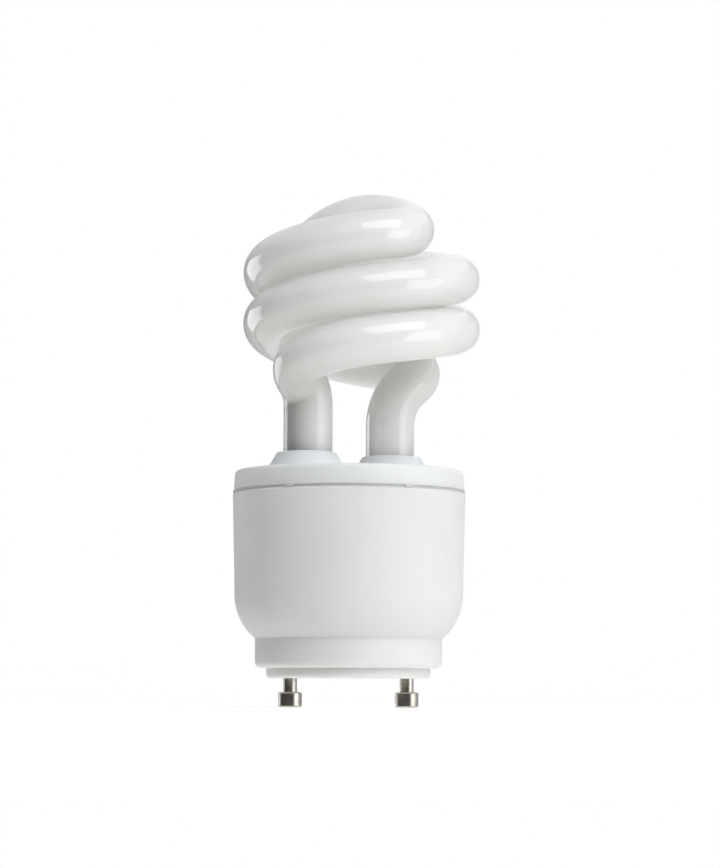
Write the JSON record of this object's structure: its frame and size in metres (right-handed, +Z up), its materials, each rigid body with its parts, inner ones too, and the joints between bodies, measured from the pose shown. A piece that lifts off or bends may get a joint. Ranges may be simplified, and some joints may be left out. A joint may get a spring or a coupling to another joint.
{
  "type": "spiral energy saving bulb",
  "caption": "Spiral compact fluorescent bulb: a coiled white glass tube on a stepped round plastic housing with a twist-lock pin base, for general lighting.",
  "frame": {"origin": "centre of the base face, midway between the pins, where the bulb meets its socket", "axes": "+Z up the bulb from the pins to the crown, +X along the line of the pins, -Y towards the picture's view"},
  "size_m": [0.0512, 0.0492, 0.1067],
  "materials": {
    "coated_glass": "smooth glass, white coating inside",
    "housing_plastic": "satin white moulding",
    "cover_plastic": "satin white moulding",
    "pin_metal": "nickel plated, turned",
    "cement": "rough white cement",
    "board": "phenolic board",
    "ferrite": "sintered ferrite",
    "copper_wire": "enamelled copper",
    "bobbin_plastic": "black moulding",
    "tape": "yellow polyester tape",
    "tinned_metal": "tinned wire",
    "sleeve": "shrink sleeve",
    "dipped_film": "dipped coating",
    "black_resin": "moulded resin",
    "resistor_coat": "baked coating",
    "ceramic_coat": "dipped coating",
    "wire_insulation": "insulated wire"
  },
  "bodies": {
    "root": {"base_housing": "housing_plastic", "blocking_capacitor": "dipped_film", "bulk_capacitor": "sleeve", "choke_bobbin": "bobbin_plastic", "choke_core_lower": "ferrite", "choke_core_upper": "ferrite", "choke_pin_1": "tinned_metal", "choke_pin_2": "tinned_metal", "choke_pin_3": "tinned_metal", "choke_pin_4": "tinned_metal", "choke_tape": "tape", "choke_winding": "copper_wire", "circuit_board": "board", "contact_pin_left": "pin_metal", "contact_pin_right": "pin_metal", "diac": "ceramic_coat", "drive_core": "ferrite", "drive_winding_1": "copper_wire", "drive_winding_2": "copper_wire", "drive_winding_3": "copper_wire", "filament_lead_1": "tinned_metal", "filament_lead_2": "tinned_metal", "filament_lead_3": "tinned_metal", "filament_lead_4": "tinned_metal", "fusible_resistor": "resistor_coat", "line_choke_core": "ferrite", "line_choke_winding": "copper_wire", "rectifier_diode_1": "black_resin", "rectifier_diode_2": "black_resin", "rectifier_diode_3": "black_resin", "rectifier_diode_4": "black_resin", "resistor_1": "resistor_coat", "resistor_2": "resistor_coat", "resistor_3": "resistor_coat", "resistor_4": "resistor_coat", "resonant_capacitor": "dipped_film", "snubber_capacitor": "ceramic_coat", "spiral_tube": "coated_glass", "start_thermistor": "black_resin", "supply_lead_left": "wire_insulation", "supply_lead_right": "wire_insulation", "top_cover": "cover_plastic", "transistor_1": "black_resin", "transistor_2": "black_resin", "tube_cement_left": "cement", "tube_cement_right": "cement", "wrap_post_1": "tinned_metal", "wrap_post_2": "tinned_metal", "wrap_post_3": "tinned_metal", "wrap_post_4": "tinned_metal"}
  },
  "joints": []
}
